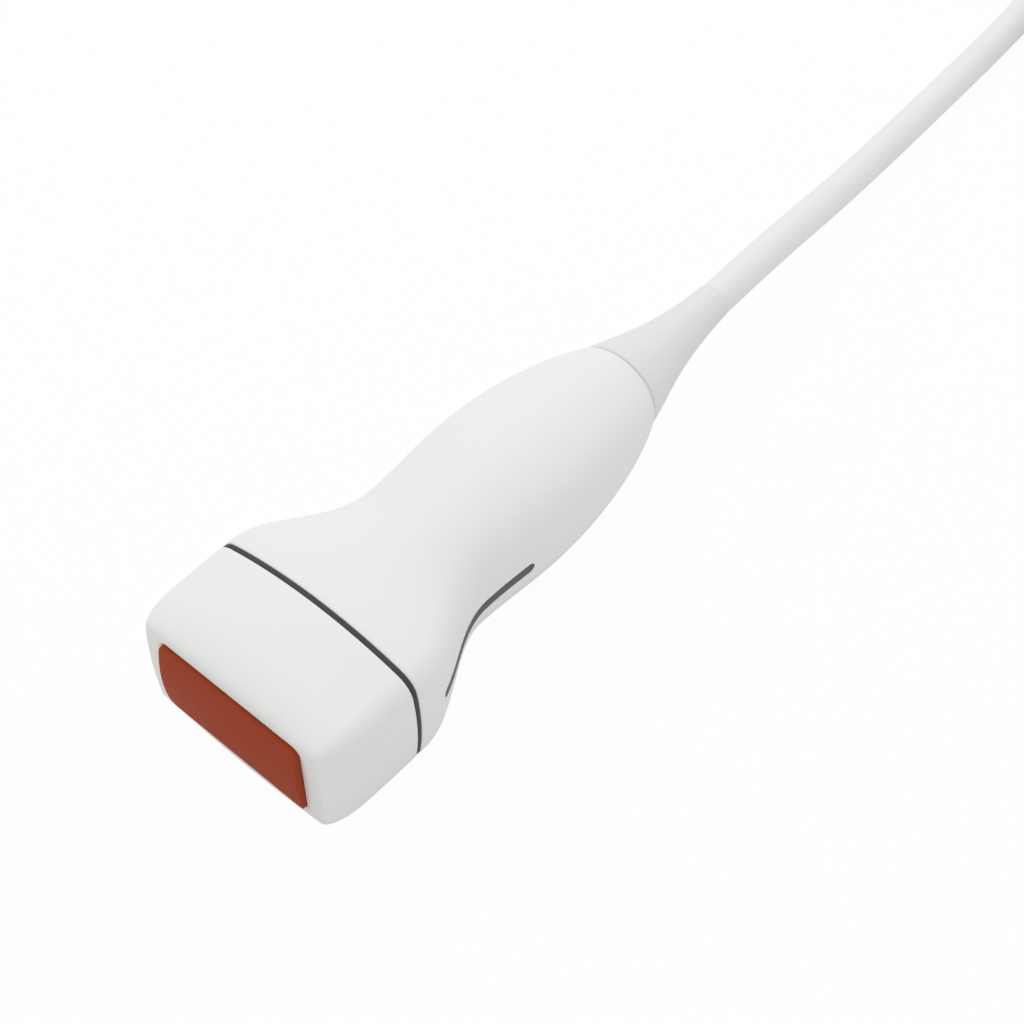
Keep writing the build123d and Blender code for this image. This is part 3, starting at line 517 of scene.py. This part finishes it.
def oval_rings(x, half_width, half_height, crown, cheek, corner, inset):
    """Rings across the probe at each x. A ring is eight tangent arcs: a crown on top and
    bottom, a bowed cheek on each side and a corner between each two. A point is its arc's centre
    plus the arc's radius, less the inset, times the outward normal."""
    x, half_width, half_height, crown, cheek, corner, inset = (
        np.atleast_1d(v)[:, None] + 0 * np.atleast_1d(x)[:, None]
        for v in (x, half_width, half_height, crown, cheek, corner, inset)
    )
    top, side = half_height - crown, half_width - cheek
    far, near = crown - corner, cheek - corner
    apart = np.hypot(top, side)
    along = (far**2 - near**2 + apart**2) / (2 * apart)
    away = np.sqrt(far**2 - along**2)
    to_y, to_z = side / apart, -top / apart
    centre_y, centre_z = to_y * along - to_z * away, top + to_z * along + to_y * away
    inside_out = centre_y < 0
    centre_y = np.where(inside_out, to_y * along + to_z * away, centre_y)
    centre_z = np.where(inside_out, top + to_z * along - to_y * away, centre_z)
    first = np.arctan2(centre_z, centre_y - side)
    second = np.arctan2(centre_z - top, centre_y)
    share = np.arange(ARC_STEPS)[None, :] / ARC_STEPS
    last = np.full_like(first, pi / 2)
    angle = np.concatenate(
        [first * share, first + (second - first) * share, second + (last - second) * share, last],
        axis=1,
    )
    steps = np.arange(angle.shape[1])[None, :]
    on_cheek, on_corner = steps < ARC_STEPS, steps < 2 * ARC_STEPS
    from_y = np.where(on_cheek, side, np.where(on_corner, centre_y, 0 * top))
    from_z = np.where(on_cheek, 0 * top, np.where(on_corner, centre_z, top))
    radius = np.where(on_cheek, cheek, np.where(on_corner, corner, crown)) - inset
    ring_y, ring_z = quarter_to_ring(
        from_y + radius * np.cos(angle), from_z + radius * np.sin(angle)
    )
    return np.stack([x + 0 * ring_y, ring_y, ring_z], axis=-1)


def tablet_ring(x, half_width, half_height, corner):
    """A rounded rectangle across the probe, with its points in step with those of an oval."""
    share = np.arange(ARC_STEPS) / ARC_STEPS
    turn = share * pi / 2
    straight_y, straight_z = half_width - corner, half_height - corner
    side_y, side_z = np.full(ARC_STEPS, half_width), straight_z * share
    corner_y, corner_z = straight_y + corner * np.cos(turn), straight_z + corner * np.sin(turn)
    top_y, top_z = straight_y * (1 - share), np.full(ARC_STEPS + 1, half_height)
    y = np.concatenate([side_y, corner_y, top_y, [0]])
    z = np.concatenate([side_z, corner_z, top_z])
    ring_y, ring_z = quarter_to_ring(y[None], z[None])
    return np.stack([x + 0 * ring_y, ring_y, ring_z], axis=-1)


def head_rings(x, inset):
    """The head's outline: from front to seam its sizes grow by one less the square of the way
    left, so that it arrives level."""
    share = 1 - (1 - np.minimum(x / HEAD_LENGTH, 1)) ** 2
    half_width = (FACE_WIDTH + (HEAD_WIDTH - FACE_WIDTH) * share) / 2
    half_height = (FACE_THICKNESS + (HEAD_THICKNESS - FACE_THICKNESS) * share) / 2
    crown = 1 / ((1 - share) / FACE_CROWN_RADIUS + share / HEAD_CROWN_RADIUS)
    corner = FACE_CORNER_RADIUS + (HEAD_CORNER_RADIUS - FACE_CORNER_RADIUS) * share
    return oval_rings(x, half_width, half_height, crown, HEAD_CHEEK_RADIUS, corner, inset)


def seated(rings):
    """Rings made about the probe's own axis, with x from its front face, moved to their place."""
    return rings + np.array([FACE_X, 0, AXIS_Z])


def between(first, last, shares):
    """Rings on the straight way from one ring to another."""
    return first + (last - first) * np.array(shares)[:, None, None]


half_turn = np.linspace(0, pi / 2, 18)
round_x = FACE_ROUNDING_BACK * (1 - np.cos(half_turn))
round_inset = FACE_ROUNDING_IN * (1 - np.sin(half_turn))
side_x = np.linspace(FACE_ROUNDING_BACK, HEAD_END - SEAM_EDGE, 14)[1:]
window_x = np.array([FACE_WALL, 2 * SEAM_EDGE, SEAM_EDGE / 3, 0.0])
window_gap = np.array([0, 0, SEAM_EDGE / 3, SEAM_EDGE]) + FIT
window = np.concatenate(
    [
        tablet_ring(x, LENS_WIDTH / 2 + gap, LENS_HEIGHT / 2 + gap, LENS_CORNER + gap)
        for x, gap in zip(window_x, window_gap)
    ]
)
front_round = head_rings(round_x, round_inset)
head_side = head_rings(side_x, 0 * side_x)
head_end = head_rings(
    np.array([HEAD_END - SEAM_EDGE / 3, HEAD_END, HEAD_END]),
    np.array([SEAM_EDGE / 3, SEAM_EDGE, WALL]),
)
inside_x = np.linspace(HEAD_END, FACE_WALL, 6)[1:]
head_inside = head_rings(inside_x, np.full_like(inside_x, WALL))
head = skin(
    "head_shell",
    seated(
        np.concatenate(
            [
                window,
                between(window[-1], front_round[0], FRONT_SHARES),
                front_round,
                head_side,
                head_end,
                head_inside,
            ]
        )
    ),
)
shell_plastic = moulded("shell_plastic", SHELL_WHITE, 0.5, 0.0006, 0.000006, IOR=1.3)
dress(head, shell_plastic, "nose", "nose_shell")


# Seam gasket: a dark rubber ring clamped between the head and the handle, a little sunk.
GASKET_WIDTH = 0.0010
GASKET_SINK = 0.0001
GASKET_DEPTH = 0.0021
HANDLE_START = HEAD_END + GASKET_WIDTH
GASKET_GREY = linear(62, 62, 62)
crown_share = np.linspace(0, pi, 7)
gasket_x = HEAD_END + GASKET_WIDTH * (1 - np.cos(crown_share)) / 2
gasket_inset = GASKET_SINK + GASKET_WIDTH / 6 * (1 - np.sin(crown_share))
gasket = skin(
    "seam_gasket_ring",
    seated(
        head_rings(
            np.concatenate([gasket_x, [HANDLE_START, HEAD_END]]),
            np.concatenate([gasket_inset, [GASKET_DEPTH, GASKET_DEPTH]]),
        )
    ),
)
gasket_rubber = moulded("gasket_rubber", GASKET_GREY, 0.7, 0.0004, 0.00001, mottle=0.1)
dress(gasket, gasket_rubber, "gasket", "seam_gasket")


# Lens: rust red silicone, domed across its short side, and moulded with a flange that is bonded
# behind the front wall.
LENS_PROUD = 0.0016
LENS_EDGE_PROUD = 0.0005
LENS_EDGE = 0.0002
LENS_FLANGE = 0.0009
LENS_FLANGE_LENGTH = 0.0012
LENS_RUST = linear(166, 66, 31)
dome_rise = LENS_PROUD - LENS_EDGE_PROUD
dome_radius = ((LENS_HEIGHT / 2) ** 2 + dome_rise**2) / (2 * dome_rise)


def domed(rings, drop):
    """Rings pushed out to the dome: x is the dome's radius less the height of its circle at z,
    less how far the lens stands proud, plus a drop."""
    z = rings[..., 2]
    lifted = rings.copy()
    lifted[..., 0] = dome_radius - np.sqrt(dome_radius**2 - z**2) - LENS_PROUD + drop
    return lifted


def lens_ring(x, gap):
    return tablet_ring(x, LENS_WIDTH / 2 + gap, LENS_HEIGHT / 2 + gap, LENS_CORNER + gap)


lens_rim = lens_ring(0.0, -LENS_EDGE)
lens_middle = 0 * lens_rim
top_shares = np.linspace(0.04, 1, 14)
lens_top = domed(between(lens_middle[0], lens_rim[0], top_shares), 0.0)
quarter = np.linspace(0, pi / 2, 5)[1:]
lens_edge = np.concatenate(
    [
        domed(lens_ring(0.0, LENS_EDGE * (sin(a) - 1)), LENS_EDGE * (1 - cos(a)))
        for a in quarter
    ]
)
lens_foot = np.concatenate(
    [
        lens_ring(FACE_WALL, 0),
        lens_ring(FACE_WALL, LENS_FLANGE),
        lens_ring(FACE_WALL + LENS_FLANGE_LENGTH, LENS_FLANGE),
    ]
)
lens = skin(
    "lens_face", seated(np.concatenate([lens_top, lens_edge, lens_foot])), ends="capped"
)
lens_silicone = moulded("lens_silicone", LENS_RUST, 0.62, 0.0012, 0.000012, mottle=0.12, IOR=1.22)
dress(lens, lens_silicone, "lens", "acoustic_lens")


# Handle: one hollow white moulding. It is boxy where it meets the head, narrows to a neck, swells
# to an oval grip that fills the hand, and ends round at the strain relief.
SHOULDER_X = 0.022
NECK_WIDTH = 0.0302
NECK_WIDTH_X = 0.0466
NECK_THICKNESS = 0.0284
NECK_THICKNESS_X = 0.042
GRIP_WIDTH = 0.0323
GRIP_WIDTH_X = 0.067
GRIP_THICKNESS = 0.0300
GRIP_THICKNESS_X = 0.064
TAIL_X = 0.1005
TAIL_RADIUS = 0.0096
TAIL_WALL = 0.0043
TAIL_BORE = 0.0071
TAIL_EDGE = 0.0007
OVAL_CROWN = 1.25
OVAL_CORNER = 0.75
ROUND_CROWN = 1.03
ROUND_CORNER = 0.9


def smooth(start, end, share):
    """A value that leaves start and reaches end level, along half a cosine."""
    return start + (end - start) * (1 - np.cos(pi * np.clip(share, 0, 1))) / 2


def half_size(x, head_size, neck, neck_x, grip, grip_x):
    """Half the handle's width or thickness: half a cosine from head to neck, another from neck
    to grip, and from there an ellipse down to the tail's radius."""
    shoulder = smooth(head_size, neck, (x - SHOULDER_X) / (neck_x - SHOULDER_X))
    swell = smooth(neck, grip, (x - neck_x) / (grip_x - neck_x))
    reach = (TAIL_X - grip_x) / sqrt(1 - (2 * TAIL_RADIUS / grip) ** 2)
    fall = grip * np.sqrt(1 - (np.maximum(x - grip_x, 0) / reach) ** 2)
    return np.where(x < neck_x, shoulder, np.where(x < grip_x, swell, fall)) / 2


def handle_rings(x, inset):
    """The handle's outline at each x. Its arcs change from the head's to an oval's, and from
    there to nearly a circle's."""
    half_width = half_size(x, HEAD_WIDTH, NECK_WIDTH, NECK_WIDTH_X, GRIP_WIDTH, GRIP_WIDTH_X)
    half_height = half_size(
        x, HEAD_THICKNESS, NECK_THICKNESS, NECK_THICKNESS_X, GRIP_THICKNESS, GRIP_THICKNESS_X
    )
    oval = smooth(0, 1, (x - SHOULDER_X) / (NECK_WIDTH_X - SHOULDER_X))
    rounded = smooth(0, 1, (x - GRIP_WIDTH_X) / (TAIL_X - GRIP_WIDTH_X))
    smaller = np.minimum(half_width, half_height)
    elongation = np.maximum(half_width, half_height) / smaller
    stretch = OVAL_CROWN + (ROUND_CROWN * elongation - OVAL_CROWN) * rounded
    crown = 1 / ((1 - oval) / HEAD_CROWN_RADIUS + oval / (stretch * half_width))
    cheek = 1 / ((1 - oval) / HEAD_CHEEK_RADIUS + oval / (stretch * half_height))
    grip_corner = smooth(OVAL_CORNER, ROUND_CORNER, rounded) * smaller
    corner = HEAD_CORNER_RADIUS + (grip_corner - HEAD_CORNER_RADIUS) * oval
    return oval_rings(x, half_width, half_height, crown, cheek, corner, inset)


def circle_rings(x, radius):
    """Round rings across the probe, in step with the ovals."""
    count = 12 * ARC_STEPS
    angle = 2 * pi * np.arange(count) / count
    x, radius = np.atleast_1d(x)[:, None], np.atleast_1d(radius)[:, None]
    ring_y, ring_z = radius * np.cos(angle), radius * np.sin(angle)
    return np.stack([x + 0 * ring_y, ring_y, ring_z], axis=-1)


inner_end = TAIL_X - TAIL_WALL
outer_x = np.linspace(HANDLE_START + SEAM_EDGE, TAIL_X - TAIL_EDGE, 110)
inner_x = np.linspace(inner_end, HANDLE_START, 24)
handle = skin(
    "handle_moulding",
    seated(
        np.concatenate(
            [
                handle_rings(
                    np.array([HANDLE_START, HANDLE_START + SEAM_EDGE / 3]),
                    np.array([SEAM_EDGE, SEAM_EDGE / 3]),
                ),
                handle_rings(outer_x, 0 * outer_x),
                handle_rings(
                    np.array([TAIL_X - TAIL_EDGE / 3, TAIL_X]), np.array([TAIL_EDGE / 3, TAIL_EDGE])
                ),
                circle_rings([TAIL_X, inner_end], [TAIL_BORE, TAIL_BORE]),
                handle_rings(inner_x, np.full_like(inner_x, WALL)),
            ]
        )
    ),
)
dress(handle, shell_plastic, "handle", "handle_shell")


# Orientation strip: a narrow dark grey inlay with round ends along one narrow side of the
# handle, which shows the operator which way the image lies. It is let in nearly flush.
STRIP_START_X = 0.0276
STRIP_END_X = 0.0584
STRIP_WIDTH = 0.0022
STRIP_DEPTH = 0.0007
STRIP_RISE = 0.00006
STRIP_ACROSS = (-1, -1, -0.85, -0.5, 0, 0.5, 0.85, 1, 1)
STRIP_LIFT = (-1, 0, 0.7, 1, 1, 1, 0.7, 0, -1)
STRIP_GREY = linear(82, 82, 82)
end_turn = np.linspace(0, pi / 2, 7)
end_in = STRIP_WIDTH / 2 * (1 - np.cos(end_turn))
strip_middle = np.linspace(STRIP_START_X + STRIP_WIDTH / 2, STRIP_END_X - STRIP_WIDTH / 2, 70)
strip_x = np.concatenate(
    [STRIP_START_X + end_in[1:], strip_middle[1:-1], STRIP_END_X - end_in[:0:-1]]
)
reach_in = np.minimum(strip_x - STRIP_START_X, STRIP_END_X - strip_x)
end_gap = np.clip(STRIP_WIDTH / 2 - reach_in, 0, None)
strip_half = np.sqrt((STRIP_WIDTH / 2) ** 2 - end_gap**2)[:, None]
strip_side = handle_rings(strip_x, 0 * strip_x)[:, 6 * ARC_STEPS, 1][:, None]
strip_z = strip_half * np.array(STRIP_ACROSS)[None, :]
strip_lift = np.array(STRIP_LIFT)[None, :]
strip_y = strip_side - np.where(strip_lift < 0, -STRIP_DEPTH, STRIP_RISE * strip_lift)
strip = skin(
    "orientation_inlay",
    seated(np.stack([strip_x[:, None] + 0 * strip_z, strip_y, strip_z], axis=-1)),
    ends="capped",
)
strip_plastic = moulded("strip_plastic", STRIP_GREY, 0.5, 0.0005, 0.000008, mottle=0.08)
dress(strip, strip_plastic, "strip", "orientation_strip")


# Strain relief: a soft light grey sleeve. Its flange and neck are held in the handle's tail, and
# outside it tapers along a free curve to just over the cable's width.
BOOT_END_X = 0.1315
BOOT_END_RADIUS = 0.0038
BOOT_FLANGE_RADIUS = 0.0085
BOOT_FLANGE_LENGTH = 0.0023
BOOT_NECK_RADIUS = 0.007
BOOT_BORE = 0.00365
BOOT_EDGE = 0.0005
BOOT_LIP_LENGTH = 0.0012
BOOT_BEND = 0.0004
BOOT_PULL_X = (0.107, 0.113)
BOOT_PULL_RADIUS = (0.0083, 0.0049)
BOOT_GREY = linear(232, 232, 233)
t = np.linspace(0, 1, 48)
weights = np.stack([(1 - t) ** 3, 3 * t * (1 - t) ** 2, 3 * t**2 * (1 - t), t**3])
# The taper is a cubic curve between the two ends, drawn towards two points beside it.
taper_start = TAIL_X + BOOT_EDGE
taper_stop = BOOT_END_X - BOOT_LIP_LENGTH
taper_x = np.array([taper_start, *BOOT_PULL_X, taper_stop]) @ weights
taper_radius = np.array([TAIL_RADIUS - FIT, *BOOT_PULL_RADIUS, BOOT_END_RADIUS]) @ weights
lip = np.linspace(0, pi / 2, 7)[1:]
root = np.linspace(0, pi / 2, 5)[:-1]
boot_x = np.concatenate(
    [
        [inner_end - BOOT_FLANGE_LENGTH, inner_end - BOOT_FLANGE_LENGTH, inner_end, inner_end],
        [TAIL_X],
        taper_start - BOOT_EDGE * np.cos(root),
        taper_x,
        taper_stop + BOOT_LIP_LENGTH * np.sin(lip),
    ]
)
boot_radius = np.concatenate(
    [
        [BOOT_BORE, BOOT_FLANGE_RADIUS, BOOT_FLANGE_RADIUS, BOOT_NECK_RADIUS],
        [BOOT_NECK_RADIUS],
        TAIL_RADIUS - FIT - BOOT_EDGE * (1 - np.sin(root)),
        taper_radius,
        BOOT_BORE + (BOOT_END_RADIUS - BOOT_BORE) * np.cos(lip),
    ]
)
# The sleeve gives a little with the cable, so that its end stays round it.
boot_rings = circle_rings(boot_x, boot_radius)
boot_way = np.clip((boot_x - TAIL_X) / (BOOT_END_X - TAIL_X), 0, 1)
boot_rings[..., 1] += BOOT_BEND * boot_way[:, None] ** 2
boot = skin("strain_relief_sleeve", seated(boot_rings))
boot_rubber = moulded("boot_rubber", BOOT_GREY, 0.55, 0.0008, 0.00001, IOR=1.45)
dress(boot, boot_rubber, "boot", "strain_relief")


# Inside the head: a diced ceramic array between two matching layers with a copper foil and a dark
# backing, its amber flex circuit, the black frame round them and an aluminium heat spreader.
outer_layer = moulded("outer_layer", linear(178, 173, 142), 0.5, 0.0003, 0.000004, mottle=0.08)
inner_layer = moulded("inner_layer", linear(115, 110, 103), 0.5, 0.0003, 0.000004, mottle=0.08)
foil = metal("copper_foil", linear(214, 140, 104), 0.3, 0.0006, 0.000003, stretch=(1, 0.1, 1))
ceramic = moulded("array_ceramic", linear(208, 190, 150), 0.6, 0.0002, 0.000004, mottle=0.1)
polyimide = moulded("flex_film", linear(196, 120, 36), 0.32, 0.0012, 0.000004, mottle=0.2)
backing = moulded("backing_filled", linear(58, 54, 52), 0.75, 0.0004, 0.00002, mottle=0.25)
frame_plastic = moulded("frame_plastic", linear(44, 44, 46), 0.5, 0.0006, 0.00001, mottle=0.1)
aluminium = metal("aluminium", linear(200, 202, 204), 0.36, 0.001, 0.000005, stretch=(0.08, 1, 1))
coat(outer_layer, "matching_layer_outer")
coat(inner_layer, "matching_layer_inner")
coat(foil, "ground_foil")
coat(ceramic, "transducer_array")
coat(polyimide, "flex_circuit")
coat(backing, "backing_block")
coat(frame_plastic, "array_frame")
coat(aluminium, "heat_spreader")


# Inside the handle: two boards on a die-cast chassis under tinned shields, the fan of fine coaxial
# wires that they end in, and the ferrule, clamp, seal and retainer that hold the cable.
casting = metal("chassis_casting", linear(184, 186, 190), 0.55, 0.0008, 0.00002)
epoxy = moulded("chip_epoxy", linear(34, 34, 36), 0.6, 0.0002, 0.000006, mottle=0.15)
housing = moulded("housing_plastic", linear(226, 214, 186), 0.45, 0.0004, 0.000006, mottle=0.06)
tinned = metal("tinned_steel", linear(206, 206, 202), 0.38, 0.0018, 0.000006)
wires = moulded("coax_wires", linear(112, 114, 124), 0.4, 0.0004, 0.00008, 0.5, (0.02, 1, 1))
clamp_metal = metal("clamp_aluminium", linear(176, 178, 182), 0.42, 0.0005, 0.000008)
seal_rubber = moulded("seal_rubber", linear(30, 30, 30), 0.6, 0.0004, 0.00001, mottle=0.2)
retainer_steel = metal("retainer_steel", linear(178, 178, 181), 0.34, 0.0003, 0.000004)
coat(casting, "chassis")
coat(lacquer, "circuit_board_upper", "circuit_board_lower")
coat(epoxy, "board_chips")
coat(housing, "flex_connectors", "coax_connectors")
coat(tinned, "shield_upper", "shield_lower")
coat(wires, "coax_bundle")
coat(nickel, "shield_ferrule")
coat(clamp_metal, "cable_clamp_upper", "cable_clamp_lower")
coat(seal_rubber, "seal_ring")
coat(retainer_steel, "boot_retainer")
coat(screw_steel, "spreader_screws", "chassis_screws", "clamp_screws")


# Table and light: a white table under even, soft light from all round, with a broad lamp high up
# beyond the strain relief, which leaves the narrow side with the strip in soft shade.
SKY_LIGHT = 0.70
TABLE_SIZE = 6.0
TABLE_THICKNESS = 0.01
TABLE_WHITE = 0.9
TABLE_GLOW = 0.96
LAMP_SIZE = 0.9
LAMP_WATTS = 4.2
LAMP_PLACE = (0.35, 0.35, 1.0)
sky = bpy.data.worlds.new("sky")
bpy.context.scene.world = sky
sky.use_nodes = True
sky.node_tree.nodes.clear()
look = Look(sky.node_tree)
ray = sky.node_tree.nodes.new("ShaderNodeLightPath")
seen = Look(look.tree, ray.outputs["Is Camera Ray"])
strength = seen * (1 - SKY_LIGHT) + SKY_LIGHT
backdrop = look.node(
    "ShaderNodeBackground", None, {"Color": (1.0, 1.0, 1.0, 1.0), "Strength": strength}
)
look.node("ShaderNodeOutputWorld", None, {"Surface": backdrop})

table = skin(
    "table",
    np.array(
        [
            [
                [-TABLE_SIZE, -TABLE_SIZE, z],
                [TABLE_SIZE, -TABLE_SIZE, z],
                [TABLE_SIZE, TABLE_SIZE, z],
                [-TABLE_SIZE, TABLE_SIZE, z],
            ]
            for z in (-TABLE_THICKNESS, 0.0)
        ]
    ),
    ends="capped",
)
table_white = bpy.data.materials.new("table_white")
table_white.use_nodes = True
table_white.node_tree.nodes.clear()
look = Look(table_white.node_tree)
ray = look.tree.nodes.new("ShaderNodeLightPath")
seen = Look(look.tree, ray.outputs["Is Camera Ray"])
matt = look.node("ShaderNodeBsdfDiffuse", None, {"Color": (*[TABLE_WHITE] * 3, 1.0)})
glow = look.node("ShaderNodeEmission", None, {"Color": (1.0, 1.0, 1.0, 1.0), "Strength": 1.0})
shown = look.node("ShaderNodeMixShader", None, {0: seen * TABLE_GLOW, 1: matt, 2: glow})
look.node("ShaderNodeOutputMaterial", None, {"Surface": shown})
table.data.materials.append(table_white)

lamp_data = bpy.data.lights.new("broad_lamp", "AREA")
lamp_data.size = LAMP_SIZE
lamp_data.energy = LAMP_WATTS
lamp = bpy.data.objects.new("broad_lamp", lamp_data)
bpy.context.collection.objects.link(lamp)
lamp_back = np.array(LAMP_PLACE) / np.linalg.norm(LAMP_PLACE)
lamp_side = np.cross((0.0, 0.0, 1.0), lamp_back)
lamp_side /= np.linalg.norm(lamp_side)
lamp_turned = np.eye(4)
lamp_turned[:3, 0], lamp_turned[:3, 1] = lamp_side, np.cross(lamp_back, lamp_side)
lamp_turned[:3, 2], lamp_turned[:3, 3] = lamp_back, LAMP_PLACE
lamp.matrix_world = Matrix(lamp_turned.tolist())
